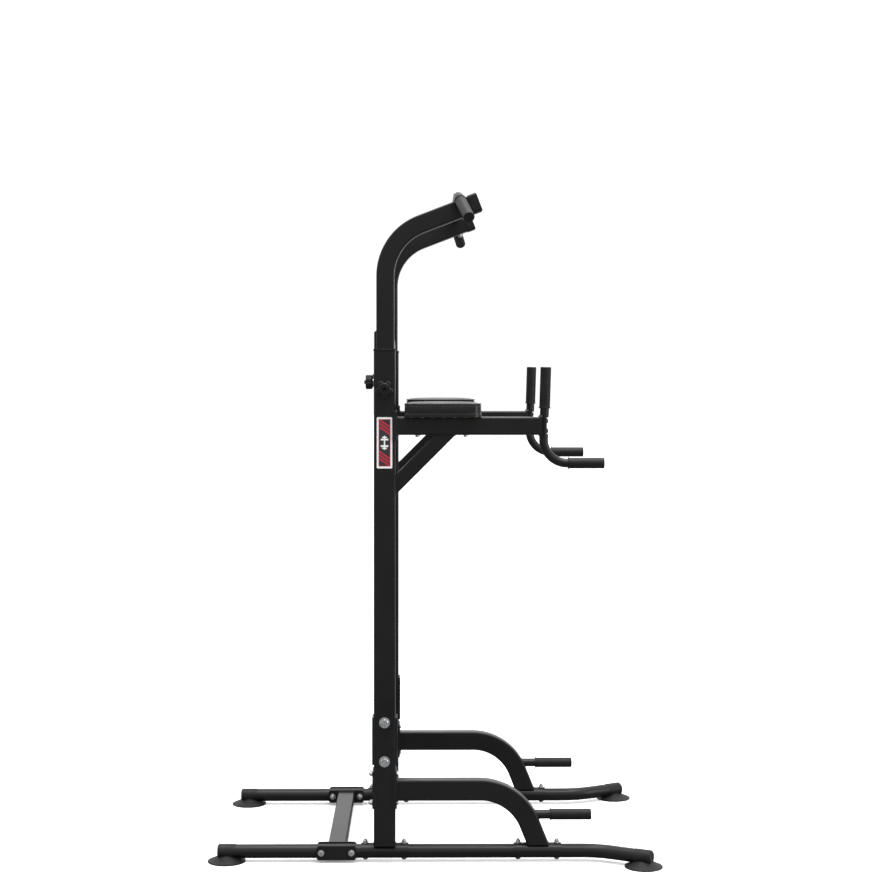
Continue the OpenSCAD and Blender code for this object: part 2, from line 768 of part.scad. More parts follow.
module brace_bolts() color(zinc) both_sides() for (z = brace_bolt_z)
    translate([side_x, post_front - plate_t, z]) along_y()
        bolt_set(m8, post_w + 2 * plate_t, "button");

module handle_bolts() color(black) both_sides() for (z = handle_bolt_z)
    translate([side_x, handle_y - handle_d / 2 + flat_depth, z]) along_y() {
        mirror([0, 0, 1]) button_head(m8);
        cylinder(d = m8, h = 30);
        translate([0, 0, handle_d + handle_gap - flat_depth]) nut(m8);
    }

module pad_bolts() color(zinc) both_sides() for (y = pad_bolt_y) translate([side_x, y, arm_low]) {
    translate([0, 0, -1.6]) washer(m8, 1.6);
    translate([0, 0, -1.6]) mirror([0, 0, 1]) hex(13, 5);
    translate([0, 0, -2]) cylinder(d = m8, h = arm_w + board_t - 1);
}

module back_pad_screws() color(zinc) for (s = [-1, 1], z = back_screw_z)
    translate([s * channel_x, back_tube_back + wall, z]) along_minus_y() {
        mirror([0, 0, 1]) button_head(6);
        cylinder(d = 6, h = board_t);
    }

module bar_bolts() color(zinc) both_sides() at_bar() translate([side_x, 0, bar_d / 2])
    mirror([0, 0, 1]) bolt_set(m8, bar_d / 2 + bar_rise + mast_w / 2, "button", tip = 2);

module decals() color(white) both_sides()
    translate([side_x + post_half, post_y, decal_low + decal_h / 2]) side_view() linear_extrude(decal_t)
        rounded(decal_w, decal_h, 3);

// ---------- Assembly ----------

rail_left();
rail_right();
foot_rear_left();
foot_rear_right();
foot_front_left();
foot_front_right();
base_post_left();
base_post_right();
j_brace_left();
j_brace_right();
brace_back_plates();
push_up_grip_left();
push_up_grip_right();
rear_cross_beam();
beam_clamp_plates();
lower_cross_member();
splice_sleeve_left();
splice_sleeve_right();
upright_left();
upright_right();
bushing_left();
bushing_right();
arm_left();
arm_right();
elbow_pad_left();
elbow_pad_right();
elbow_pad_board_left();
elbow_pad_board_right();
dip_handle_left();
dip_handle_right();
dip_grip_upper_left();
dip_grip_upper_right();
dip_grip_lower_left();
dip_grip_lower_right();
back_frame();
back_pad();
back_pad_board();
mast_tube_left();
mast_tube_right();
mast_end_caps();
pull_up_bar();
pull_up_grip_left();
pull_up_grip_right();
clamp_knob_left();
clamp_knob_right();
pull_pin_left();
pull_pin_right();
clamp_nuts();
pin_barrels();
saddle_bolts();
cross_beam_bolts();
cross_member_bolts();
brace_bolts();
handle_bolts();
pad_bolts();
back_pad_screws();
bar_bolts();
decals();
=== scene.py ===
import json
import math

import bmesh
import bpy
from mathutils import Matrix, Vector


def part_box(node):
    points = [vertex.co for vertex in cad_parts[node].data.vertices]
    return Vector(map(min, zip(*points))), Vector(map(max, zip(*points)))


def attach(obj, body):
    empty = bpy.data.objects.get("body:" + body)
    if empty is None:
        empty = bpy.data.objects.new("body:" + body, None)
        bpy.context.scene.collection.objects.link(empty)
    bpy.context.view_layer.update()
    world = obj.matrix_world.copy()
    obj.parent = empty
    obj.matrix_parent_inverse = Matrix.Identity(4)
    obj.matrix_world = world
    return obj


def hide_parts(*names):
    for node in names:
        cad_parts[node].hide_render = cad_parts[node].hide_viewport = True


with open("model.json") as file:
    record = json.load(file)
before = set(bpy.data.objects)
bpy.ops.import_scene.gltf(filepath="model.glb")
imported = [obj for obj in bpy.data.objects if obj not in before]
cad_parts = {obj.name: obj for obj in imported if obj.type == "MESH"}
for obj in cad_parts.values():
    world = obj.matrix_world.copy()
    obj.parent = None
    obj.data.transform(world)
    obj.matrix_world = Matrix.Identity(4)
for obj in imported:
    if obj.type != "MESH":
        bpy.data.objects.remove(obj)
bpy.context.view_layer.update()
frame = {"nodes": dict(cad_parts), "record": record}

scene = bpy.context.scene


# ---------------------------------------------------------------- camera

def look(location, yaw, shift):
    """A level camera that looks along +X, turned by yaw degrees towards -Y.

    The view is shifted, not tilted, so that the uprights stay parallel.
    """
    data = bpy.data.cameras.new("camera")
    data.lens = 72
    data.sensor_width = 36
    data.clip_end = 200
    data.shift_y = shift
    cam = bpy.data.objects.new("camera", data)
    scene.collection.objects.link(cam)
    cam.location = location
    ahead = Vector((1, -math.tan(math.radians(yaw)), 0))
    cam.rotation_euler = ahead.to_track_quat("-Z", "Y").to_euler()
    scene.camera = cam


look(location=(-5.197, 0.032, 1.376), yaw=0.493, shift=-0.0806)


# ---------------------------------------------------------------- node helpers

class Graph:
    """Short calls for building a shader's nodes."""

    def __init__(self, tree):
        self.tree = tree
        tree.nodes.clear()

    def node(self, kind, **settings):
        made = self.tree.nodes.new(kind)
        for key, value in settings.items():
            setattr(made, key, value)
        return made

    def put(self, node, socket, value):
        """A socket of the node takes a number, a colour, or another node's output."""
        target = node.inputs[socket]
        if isinstance(value, bpy.types.NodeSocket):
            self.tree.links.new(value, target)
        else:
            target.default_value = value

    def math(self, operation, a, b=None):
        made = self.node("ShaderNodeMath", operation=operation)
        for i, value in enumerate((a, b)):
            if value is not None:
                self.put(made, i, value)
        return made.outputs[0]

    def place(self, stretch=(1, 1, 1)):
        """The point in the object's own frame, in metres: for a CAD node, the shared frame."""
        made = self.node("ShaderNodeMapping")
        self.put(made, "Vector", self.node("ShaderNodeTexCoord").outputs["Object"])
        self.put(made, "Scale", stretch)
        return made.outputs[0]

    def noise(self, scale, detail, stretch=(1, 1, 1), roughness=0.5):
        made = self.node("ShaderNodeTexNoise")
        self.put(made, "Vector", self.place(stretch))
        self.put(made, "Scale", scale)
        self.put(made, "Detail", detail)
        self.put(made, "Roughness", roughness)
        return made.outputs["Fac"]

    def cells(self, scale):
        made = self.node("ShaderNodeTexVoronoi", feature="F1")
        self.put(made, "Vector", self.place())
        self.put(made, "Scale", scale)
        return made.outputs["Distance"]

    def spread(self, value, low, high, start=0.3, end=0.7):
        """Maps a value between start and end to one between low and high."""
        made = self.node("ShaderNodeMapRange")
        for i, v in enumerate((value, start, end, low, high)):
            self.put(made, i, v)
        return made.outputs[0]

    def blend(self, fac, a, b):
        made = self.node("ShaderNodeMix", data_type="RGBA")
        self.put(made, 0, fac)
        self.put(made, 6, a)
        self.put(made, 7, b)
        return made.outputs[2]

    def bump(self, height, distance, strength, under=None):
        made = self.node("ShaderNodeBump")
        self.put(made, "Height", height)
        self.put(made, "Distance", distance)
        self.put(made, "Strength", strength)
        if under is not None:
            self.put(made, "Normal", under)
        return made.outputs[0]

    def soft_edge(self, radius):
        made = self.node("ShaderNodeBevel", samples=4)
        self.put(made, "Radius", radius)
        return made.outputs[0]


def material(name):
    made = bpy.data.materials.new(name)
    made.use_nodes = True
    g = Graph(made.node_tree)
    shader = g.node("ShaderNodeBsdfPrincipled")
    out = g.node("ShaderNodeOutputMaterial")
    g.put(out, "Surface", shader.outputs[0])
    return made, g, shader


def grey(v):
    return (v, v, v, 1)


# ---------------------------------------------------------------- materials

def powder_coat():
    """Satin black paint: fine orange peel, slow changes of gloss, and softened edges."""
    made, g, s = material("black_powder_coat")
    slow = g.noise(7, 4)
    grain = g.noise(1500, 2)
    peel = g.noise(380, 3)
    dark, light = (0.0042, 0.0041, 0.0039, 1), (0.0066, 0.0063, 0.006, 1)
    g.put(s, "Base Color", g.blend(g.spread(slow, 0, 1), dark, light))
    g.put(s, "Roughness", g.math("ADD", g.spread(slow, 0.29, 0.36), g.spread(grain, -0.03, 0.03)))
    fine = g.bump(grain, 0.00002, 0.5, g.soft_edge(0.0009))
    g.put(s, "Normal", g.bump(peel, 0.00006, 0.5, fine))
    s.inputs["Specular IOR Level"].default_value = 0.24
    return made


def zinc():
    """Bright zinc plate: cloudy, slightly blue, with fine marks from the tumbling drum."""
    made, g, s = material("zinc_plated_steel")
    cloud = g.noise(260, 4)
    marks = g.noise(1900, 2, (1, 1, 0.3))
    dark, light = (0.3, 0.31, 0.32, 1), (0.55, 0.56, 0.57, 1)
    g.put(s, "Base Color", g.blend(g.spread(cloud, 0, 1), dark, light))
    g.put(s, "Roughness", g.spread(cloud, 0.24, 0.4))
    g.put(s, "Normal", g.bump(marks, 0.00003, 0.5, g.soft_edge(0.0004)))
    s.inputs["Metallic"].default_value = 1.0
    return made


def black_bolts():
    """Blackened steel, a little lighter where the finish is thin."""
    made, g, s = material("black_bolts")
    cloud = g.noise(300, 4)
    g.put(s, "Base Color", g.blend(g.spread(cloud, 0, 1, 0.45, 0.75), grey(0.02), grey(0.055)))
    g.put(s, "Roughness", g.spread(cloud, 0.3, 0.42))
    g.put(s, "Normal", g.bump(g.noise(1600, 2), 0.00002, 0.5, g.soft_edge(0.0004)))
    s.inputs["Metallic"].default_value = 0.85
    return made


def grip_rubber():
    """Smooth dipped rubber with a soft shine, a fine skin and slight streaks from the mould."""
    made, g, s = material("grip_rubber")
    slow = g.noise(30, 3)
    skin = g.noise(1100, 3)
    pores = g.cells(1700)
    dark, light = (0.0045, 0.0045, 0.005, 1), (0.008, 0.008, 0.0085, 1)
    g.put(s, "Base Color", g.blend(g.spread(slow, 0, 1), dark, light))
    worn = g.math("ADD", slow, g.math("MULTIPLY", skin, 0.4))
    g.put(s, "Roughness", g.spread(worn, 0.46, 0.56, 0.5, 0.9))
    s.inputs["Specular IOR Level"].default_value = 0.2
    g.put(s, "Normal", g.bump(pores, 0.00002, 0.4, g.bump(skin, 0.00005, 0.4, g.soft_edge(0.0008))))
    return made


def foot_rubber():
    """Matt moulded rubber with a stippled skin and a trace of dust."""
    made, g, s = material("foot_rubber")
    slow = g.noise(25, 4)
    stipple = g.cells(1000)
    dust = g.spread(g.noise(90, 5, roughness=0.65), 0, 1, 0.5, 0.8)
    rubber = g.blend(g.spread(slow, 0, 1), grey(0.005), grey(0.009))
    g.put(s, "Base Color", g.blend(dust, rubber, (0.02, 0.019, 0.018, 1)))
    g.put(s, "Roughness", g.spread(slow, 0.44, 0.56))
    s.inputs["Specular IOR Level"].default_value = 0.2
    g.put(s, "Normal", g.bump(stipple, 0.0001, 0.35, g.soft_edge(0.0012)))
    return made


def black_plastic():
    """Injection-moulded plastic with a spark-eroded grain."""
    made, g, s = material("black_plastic")
    slow = g.noise(40, 3)
    grain = g.noise(1300, 3)
    dark, light = (0.003, 0.003, 0.0032, 1), (0.006, 0.006, 0.0065, 1)
    g.put(s, "Base Color", g.blend(g.spread(slow, 0, 1), dark, light))
    g.put(s, "Roughness", g.spread(grain, 0.36, 0.46))
    s.inputs["Specular IOR Level"].default_value = 0.2
    g.put(s, "Normal", g.bump(grain, 0.00006, 0.5, g.soft_edge(0.001)))
    return made


def vinyl():
    """Black upholstery vinyl: a leather grain of small cells with fine creases between them, the creases
    painted darker as painted shade.
    """
    made, g, s = material("vinyl")
    wobble = g.noise(120, 2)
    cells = g.node("ShaderNodeTexVoronoi", feature="DISTANCE_TO_EDGE")
    shift = g.node("ShaderNodeVectorMath", operation="ADD")
    g.put(shift, 0, g.place())
    g.put(shift, 1, g.math("MULTIPLY", wobble, 0.004))
    g.put(cells, "Vector", shift.outputs[0])
    g.put(cells, "Scale", 620)
    crease = g.spread(cells.outputs["Distance"], 0, 1, 0.0, 0.22)
    slow = g.noise(22, 4)
    skin = g.blend(g.spread(slow, 0, 1), grey(0.005), grey(0.008))
    # painted shade: the base colour is darker in the creases between the grain's cells, where shade would
    # fall
    g.put(s, "Base Color", g.blend(crease, grey(0.0025), skin))
    smoother = g.math("MULTIPLY", crease, -0.03)
    g.put(s, "Roughness", g.math("ADD", g.spread(slow, 0.27, 0.35), smoother))
    g.put(s, "Normal", g.bump(crease, 0.0001, 0.4, g.bump(g.noise(2400, 2), 0.00003, 0.3)))
    s.inputs["Specular IOR Level"].default_value = 0.3
    return made


def plywood():
    """Birch plywood: long grain on the faces and the layers of the plies on the cut edges."""
    made, g, s = material("plywood")
    grain = g.noise(45, 6, (6, 0.6, 6), 0.62)
    pores = g.noise(500, 3, (3, 0.25, 3))
    split = g.node("ShaderNodeSeparateXYZ")
    g.put(split, 0, g.node("ShaderNodeTexCoord").outputs["Object"])
    two_plies = 0.003
    layers = g.math("SINE", g.math("MULTIPLY", split.outputs[2], 2 * math.pi / two_plies))
    ply = g.math("GREATER_THAN", layers, 0.1)
    face = g.blend(g.spread(grain, 0, 1), (0.5, 0.33, 0.17, 1), (0.68, 0.5, 0.3, 1))
    g.put(s, "Base Color", g.blend(g.math("MULTIPLY", ply, 0.25), face, (0.3, 0.18, 0.09, 1)))
    g.put(s, "Roughness", g.spread(pores, 0.55, 0.72))
    g.put(s, "Normal", g.bump(pores, 0.00012, 0.5, g.soft_edge(0.0006)))
    return made


def decal_film():
    """A printed label with no lettering.

    A white border and a thin red line round a dark panel, with three slanted red bars
    at each end and a plain dumbbell sign between them.
    """
    made, g, s = material("decal_film")
    low, high = (Vector(v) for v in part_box("decals"))
    middle = (low + high) / 2
    split = g.node("ShaderNodeSeparateXYZ")
    g.put(split, 0, g.node("ShaderNodeTexCoord").outputs["Object"])
    y = g.math("MULTIPLY", g.math("SUBTRACT", split.outputs[1], middle.y), 1000)
    z = g.math("MULTIPLY", g.math("SUBTRACT", split.outputs[2], middle.z), 1000)

    def inside(half_y, half_z, at_z=0.0, slant=0.0):
        """1 inside a panel, in millimetres from the label's middle."""
        level = g.math("SUBTRACT", z, g.math("MULTIPLY", y, slant))
        away = g.math("ABSOLUTE", g.math("SUBTRACT", level, at_z))
        across = g.math("LESS_THAN", g.math("ABSOLUTE", y), half_y)
        return g.math("MULTIPLY", across, g.math("LESS_THAN", away, half_z))

    def either(*masks):
        total = masks[0]
        for m in masks[1:]:
            total = g.math("MAXIMUM", total, m)
        return total

    white, panel, red = (0.78, 0.77, 0.76, 1), (0.012, 0.011, 0.02, 1), (0.36, 0.012, 0.03, 1)
    frame_line = inside(16.5, 65.5)
    field = inside(14.8, 63.8)
    bars = [inside(30, 3.2, at, 0.7) for at in (-54, -44, -34, 34, 44, 54)]
    stripes = g.math("MULTIPLY", field, either(*bars))
    inner_plates = (inside(10.5, 2.4, 9), inside(10.5, 2.4, -9))
    outer_plates = (inside(6.5, 2, 15), inside(6.5, 2, -15))
    dumbbell = either(*inner_plates, *outer_plates, inside(1.8, 19.5))
    ink = g.noise(900, 2)
    colour = g.blend(frame_line, white, red)
    colour = g.blend(field, colour, panel)
    colour = g.blend(stripes, colour, red)
    colour = g.blend(dumbbell, colour, white)
    g.put(s, "Base Color", g.blend(g.spread(ink, 0, 0.06), colour, grey(0.2)))
    g.put(s, "Roughness", g.spread(g.noise(60, 3), 0.3, 0.38))
    g.put(s, "Normal", g.bump(g.noise(400, 2), 0.00003, 0.5))
    return made


def thread():
    """Black bonded sewing thread."""
    made, g, s = material("thread")
    g.put(s, "Base Color", g.blend(g.spread(g.noise(900, 2), 0, 1), grey(0.02), grey(0.045)))
    g.put(s, "Roughness", g.spread(g.noise(1500, 2), 0.5, 0.7))
    g.put(s, "Normal", g.bump(g.noise(2600, 2), 0.0001, 0.6))
    return made


def staple_wire():
    """Galvanised staple wire."""
    made, g, s = material("staple_wire")
    g.put(s, "Base Color", g.blend(g.spread(g.noise(500, 3), 0, 1), grey(0.45), grey(0.65)))
    g.put(s, "Roughness", g.spread(g.noise(800, 2), 0.3, 0.45))
    g.put(s, "Normal", g.bump(g.noise(1500, 2), 0.00003, 0.5))
    s.inputs["Metallic"].default_value = 1.0
    return made


FINISH = {
    "black_powder_coat": powder_coat(),
    "zinc_plated_steel": zinc(),
    "black_bolts": black_bolts(),
    "grip_rubber": grip_rubber(),
    "foot_rubber": foot_rubber(),
    "black_plastic": black_plastic(),
    "vinyl": vinyl(),
    "plywood": plywood(),
    "decal_film": decal_film(),
}
THREAD = thread()
STAPLE = staple_wire()


def finish_of(node):
    for part in frame["record"]["subparts"]:
        if part["node"] == node:
            return part["material_slot"]


for node, obj in frame["nodes"].items():
    made = FINISH[finish_of(node)]
    for place in obj.material_slots:
        place.material = made
    if not obj.material_slots:
        obj.data.materials.append(made)


# ---------------------------------------------------------------- floor and light

def studio():
    """A pale floor that runs out into a white surround, a graded sky and two soft boxes.

    The floor and the surround look white to the camera and light the object less than
    that, so its black paint stays dark. The sky is brightest overhead and behind.
    """
    made, g, s = material("studio_floor")
    g.put(s, "Base Color", g.blend(g.spread(g.noise(3, 2), 0, 1), grey(0.9), grey(0.92)))
    g.put(s, "Roughness", 0.6)
    g.put(s, "Emission Color", grey(1.0))
    g.put(s, "Emission Strength", 0.2)
    s.inputs["Specular IOR Level"].default_value = 0.2
    dim = g.node("ShaderNodeBsdfDiffuse")
    g.put(dim, "Color", grey(0.2))
    lit = g.node("ShaderNodeMixShader")
    g.put(lit, 0, g.node("ShaderNodeLightPath").outputs["Is Camera Ray"])
    g.put(lit, 1, dim.outputs[0])
    g.put(lit, 2, s.outputs[0])
    g.put(g.node("ShaderNodeOutputMaterial", is_active_output=True), "Surface", lit.outputs[0])
    mesh = bpy.data.meshes.new("studio_floor")
    far, near = 45, -1.9
    corners = [(near, -far, 0), (far, -far, 0), (far, far, 0), (near, far, 0)]
    mesh.from_pydata(corners, [], [(0, 1, 2, 3)])
    mesh.materials.append(made)
    floor = bpy.data.objects.new("studio_floor", mesh)
    scene.collection.objects.link(floor)

    world = bpy.data.worlds.new("studio")
    world.use_nodes = True
    scene.world = world
    g = Graph(world.node_tree)
    split = g.node("ShaderNodeSeparateXYZ")
    g.put(split, 0, g.node("ShaderNodeTexCoord").outputs["Generated"])
    backdrop = g.spread(split.outputs[0], 0.4, 1.0, -0.3, 0.6)
    rising = g.spread(split.outputs[2], 0.8, 1.7, -0.15, 0.2)
    upper = g.math("MINIMUM", g.math("MULTIPLY", backdrop, rising), 0.9)
    lift = g.math("ADD", upper, g.spread(split.outputs[2], 0.08, 1.1, 0.0, 1.0))
    level = g.node("ShaderNodeCombineColor")
    for i in range(3):
        g.put(level, i, lift)
    seen = g.node("ShaderNodeBackground")
    g.put(seen, "Color", grey(1.0))
    g.put(seen, "Strength", 1.05)
    sky = g.node("ShaderNodeBackground")
    g.put(sky, "Color", level.outputs[0])
    both = g.node("ShaderNodeMixShader")
    g.put(both, 0, g.node("ShaderNodeLightPath").outputs["Is Camera Ray"])
    g.put(both, 1, sky.outputs[0])
    g.put(both, 2, seen.outputs[0])
    g.put(g.node("ShaderNodeOutputWorld"), "Surface", both.outputs[0])

    for name, place, target, size, power in (
        ("overhead", (-0.6, -0.4, 4.4), (0, 0, 0.8), (3.2, 3.2), 205),
        ("front_box", (-2.2, -4.6, 1.7), (0, 0, 1.0), (1.6, 3.2), 70),
    ):
        data = bpy.data.lights.new(name, "AREA")
        data.shape = "RECTANGLE"
        data.size, data.size_y = size
        data.energy = power
        lamp = bpy.data.objects.new(name, data)
        scene.collection.objects.link(lamp)
        lamp.location = place
        lamp.rotation_euler = (Vector(target) - Vector(place)).to_track_quat("-Z", "Y").to_euler()
        lamp.visible_camera = False


studio()
scene.view_settings.view_transform = "Standard"


# ---------------------------------------------------------------- mesh helpers

RIPPLE = 0.003  # metres between the ripples of a weld


def evaluated(obj):
    return obj.evaluated_get(bpy.context.evaluated_depsgraph_get())


def new_object(name, mesh, mat, body="frame"):
    obj = bpy.data.objects.new(name, mesh)
    scene.collection.objects.link(obj)
    mesh.materials.append(mat)
    for face in mesh.polygons:
        face.use_smooth = True
    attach(obj, body)
    return obj


def tube_along(points, radius, sides, closed=True, wave=0.0):
    """Vertices and faces of a tube that follows the points.

    wave is how far it swells and narrows, as a part of its radius, like a weld's ripples.
    """
    count = len(points)
    verts, faces = [], []
    run = 0.0
    for i, p in enumerate(points):
        before = points[i - 1] if closed or i else points[i]
        after = points[(i + 1) % count] if closed or i < count - 1 else points[i]
        along = (after - before).normalized()
        side = along.orthogonal() if i == 0 else side - along * side.dot(along)
        side.normalize()
        up = along.cross(side)
        if i:
            run += (p - points[i - 1]).length
        r = radius * (1 + wave * math.cos(2 * math.pi * run / RIPPLE))
        for k in range(sides):
            a = 2 * math.pi * k / sides
            verts.append(p + side * (r * math.cos(a)) + up * (r * math.sin(a)))
    for i in range(count if closed else count - 1):
        j = (i + 1) % count
        for k in range(sides):
            m = (k + 1) % sides
            faces.append((i * sides + k, i * sides + m, j * sides + m, j * sides + k))
    if not closed:
        faces.append(tuple(range(sides))[::-1])
        faces.append(tuple((count - 1) * sides + k for k in range(sides)))
    return verts, faces


def mesh_of(name, parts):
    """One mesh from several lists of vertices and faces."""
    verts, faces = [], []
    for v, f in parts:
        base = len(verts)
        verts += [tuple(p) for p in v]
        faces += [tuple(base + i for i in face) for face in f]
    mesh = bpy.data.meshes.new(name)
    mesh.from_pydata(verts, [], faces)
    bm = bmesh.new()
    bm.from_mesh(mesh)
    bmesh.ops.recalc_face_normals(bm, faces=bm.faces)
    bm.to_mesh(mesh)
    bm.free()
    return mesh


def spaced(points, step, closed=True):
    """The same line with its points evenly spaced, about step apart."""
    line = list(points) + ([points[0]] if closed else [])
    lengths = [0.0]
    for a, b in zip(line, line[1:]):
        lengths.append(lengths[-1] + (b - a).length)
    count = max(4, round(lengths[-1] / step))
    out, k = [], 0
    for i in range(count if closed else count + 1):
        want = lengths[-1] * i / count
        while k < len(lengths) - 2 and lengths[k + 1] < want:
            k += 1
        gap = lengths[k + 1] - lengths[k]
        out.append(line[k].lerp(line[k + 1], 0 if gap == 0 else (want - lengths[k]) / gap))
    return out


def outline(w, l, corners, steps=8):
    """A closed 2-D line round a w by l rectangle.

    corners are the radii at (+,+), (-,+), (-,-) and (+,-).
    """
    out = []
    signs = ((1, 1), (-1, 1), (-1, -1), (1, -1))
    for i, ((sx, sy), r) in enumerate(zip(signs, corners)):
        cx, cy = sx * (w / 2 - r), sy * (l / 2 - r)
        for k in range(steps + 1):
            a = math.pi / 2 * (i + k / steps)
            out.append(Vector((cx + r * math.cos(a), cy + r * math.sin(a))))
    return out


# ---------------------------------------------------------------- pads

INSET = 0.0015  # the form starts this much smaller than its solid, because it swells
VOXEL = 0.004
PRESSURE = 4
LAST_FRAME = 20
CROWN, SWELL = 0.0045, 0.003  # how far a point on the top and on a side may move
FOOT = 0.009  # below this height a side is drawn out and down over the board's edge
THINNER = 0.0025  # how much thinner the form is than its solid

def edge_distance(x, y, w, l, corners):
    """How far a point lies outside a round-cornered w by l rectangle, and the way out of it."""
    r = corners[(0 if y > 0 else 3) if x > 0 else (1 if y > 0 else 2)]
    qx, qy = abs(x) - w / 2 + r, abs(y) - l / 2 + r
    out = Vector((max(qx, 0), max(qy, 0)))
    away = min(max(qx, qy), 0) + out.length - r
    way = out if out.length > 0 else Vector((1, 0) if qx > qy else (0, 1))
    way.normalize()
    return away, Vector((math.copysign(way.x, x), math.copysign(way.y, y), 0))


class Seat:
    """Where a pad lies: its own x and y run across its face and z points out of it."""

    def __init__(self, origin, x, y, z):
        self.origin, self.x, self.y, self.z = Vector(origin), Vector(x), Vector(y), Vector(z)

    def at(self, x, y, z):
        return self.origin + self.x * x + self.y * y + self.z * z


def stuffed(name, w, l, t, corners):
    """A pad in its own frame, on z = 0.

    It is a closed form, swollen by cloth simulation between its seam and its board.
    """
    ring = outline(w - 2 * INSET, l - 2 * INSET, [r - INSET for r in corners])
    levels = [  # how far in from the side, and how high
        (0.0, 0.0), (0.0, 0.0035), (0.0, t * 0.5), (0.0, t - 0.0065),
        (0.0009, t - 0.0032), (0.0028, t - 0.001), (0.006, t - 0.0001), (0.009, t),
    ]
    verts, faces = [], []
    for step, z in levels:
        for p in ring:
            shrink = Vector((p.x * (1 - 2 * step / w), p.y * (1 - 2 * step / l)))
            verts.append((shrink.x, shrink.y, z))
    n = len(ring)
    for i in range(len(levels) - 1):
        for k in range(n):
            m = (k + 1) % n
            faces.append((i * n + k, i * n + m, (i + 1) * n + m, (i + 1) * n + k))
    faces.append(tuple(range(n))[::-1])
    faces.append(tuple((len(levels) - 1) * n + k for k in range(n)))
    mesh = bpy.data.meshes.new(name)
    mesh.from_pydata(verts, [], faces)
    work = bpy.data.objects.new(name + "_work", mesh)
    scene.collection.objects.link(work)

    remesh = work.modifiers.new("remesh", "REMESH")
    remesh.mode = "VOXEL"
    remesh.voxel_size = VOXEL
    baked = bpy.data.meshes.new_from_object(evaluated(work))
    work.modifiers.clear()
    work.data = baked

    before = [v.co.copy() for v in baked.vertices]
    hold = work.vertex_groups.new(name="hold")
    for v in baked.vertices:
        edge = max(abs(v.co.x) - (w / 2 - 0.012), abs(v.co.y) - (l / 2 - 0.012))
        if v.co.z < 0.006 or (edge > 0 and abs(v.co.z - (t - 0.005)) < 0.003):
            hold.add([v.index], 1.0, "REPLACE")
    cloth = work.modifiers.new("cloth", "CLOTH")
    cloth.settings.quality = 6
    cloth.settings.mass = 0.25
    cloth.settings.tension_stiffness = 12
    cloth.settings.bending_stiffness = 0.6
    cloth.settings.use_pressure = True
    cloth.settings.uniform_pressure_force = PRESSURE
    cloth.settings.vertex_group_mass = "hold"
    cloth.settings.effector_weights.gravity = 0
    cloth.point_cache.frame_start = 1
    cloth.point_cache.frame_end = LAST_FRAME
    for f in range(1, LAST_FRAME + 1):
        scene.frame_set(f)
    posed = evaluated(work).to_mesh()
    after = [v.co.copy() for v in posed.vertices]
    evaluated(work).to_mesh_clear()
    work.modifiers.clear()
    scene.frame_set(1)

    for v, a, b in zip(baked.vertices, before, after):
        move = b - a
        top = a.z > t - 0.004
        cap = CROWN if top else SWELL
        if move.length > cap:
            move *= cap / move.length
        v.co = a + move

    work.modifiers.new("smooth", "CORRECTIVE_SMOOTH").iterations = 4
    work.modifiers["smooth"].use_only_smooth = True
    sub = work.modifiers.new("sub", "SUBSURF")
    sub.levels = sub.render_levels = 1
    done = bpy.data.meshes.new_from_object(evaluated(work))
    bpy.data.objects.remove(work)
    for v in done.vertices:
        away, way = edge_distance(v.co.x, v.co.y, w, l, corners)
        if v.co.z < FOOT and away > -0.0065:
            v.co += way * (-0.0006 - away)
            v.co.z = max(-0.0008, (v.co.z - 0.0035) * 1.63)
    return done


def upholster(name, node, seat, w, l, t, corners):
    """A finished pad: the swollen cushion, a welt round its seam and a row of stitches below."""
    mesh = stuffed(name, w, l, t, corners)
    for v in mesh.vertices:
        v.co = seat.at(*v.co)
    mesh.update()
    pad = new_object(name, mesh, FINISH["vinyl"])
    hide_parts(node)

    seam = [seat.at(p.x, p.y, t - 0.0034) for p in outline(w - 0.0034, l - 0.0034, corners)]
    bead = mesh_of(name + "_welt", [tube_along(spaced(seam, 0.004), 0.0014, 8)])
    welt = new_object(name + "_welt", bead, FINISH["vinyl"])

    row = [seat.at(p.x, p.y, t - 0.009) for p in outline(w + 0.0008, l + 0.0008, corners)]
    line = spaced(row, 0.0045)
    parts = []
    for i, p in enumerate(line):
        along = (line[(i + 1) % len(line)] - line[i - 1]).normalized() * 0.0014
        stitch = [p - along, p - along * 0.4, p + along * 0.4, p + along]
        parts.append(tube_along(stitch, 0.00042, 5, closed=False))
    new_object(name + "_stitches", mesh_of(name + "_stitches", parts), THREAD)
    return pad


def strip(inner, outer, low, high, closed):
    """A flat strip between two lines of equal length, from low to high."""
    verts, faces = [], []
    n = len(inner)
    for a, b in zip(inner, outer):
        verts += [(a.x, a.y, low), (b.x, b.y, low), (b.x, b.y, high), (a.x, a.y, high)]
    for i in range(n if closed else n - 1):
        j = (i + 1) % n
        for k in range(4):
            m = (k + 1) % 4
            faces.append((i * 4 + k, i * 4 + m, j * 4 + m, j * 4 + k))
    if not closed:
        faces += [(3, 2, 1, 0), tuple((n - 1) * 4 + k for k in range(4))]
    return verts, faces


def staples(seat, line, z):
    """Wire staples on a line of points and directions, lying along the edge."""
    half, leg, back = 0.005, -0.0012, 0.0002
    shape = ((-half, leg), (-half, back), (half, back), (half, leg))
    parts = []
    for p, way in line:
        ends = [seat.at(p.x + way.x * q, p.y + way.y * q, z - h) for q, h in shape]
        parts.append(tube_along(ends, 0.00045, 6, closed=False))
    return parts


def turned_under(name, seat, strips, rows):
    """The vinyl's hem behind the board, in flat strips, and the staples that hold it."""
    low, high = -0.0017, -0.001
    parts = []
    for inner, outer, closed in strips:
        verts, faces = strip(inner, outer, low, high, closed)
        parts.append(([seat.at(*v) for v in verts], faces))
    hem = new_object(name + "_hem", mesh_of(name + "_hem", parts), FINISH["vinyl"])
    wires = mesh_of(name + "_staples", staples(seat, rows, low))
    new_object(name + "_staples", wires, STAPLE)


def along_line(points, step):
    """Points on a closed line with the line's direction at each."""
    line = spaced(points, step)
    return [(p, (line[(i + 1) % len(line)] - line[i - 1]).normalized()) for i, p in enumerate(line)]


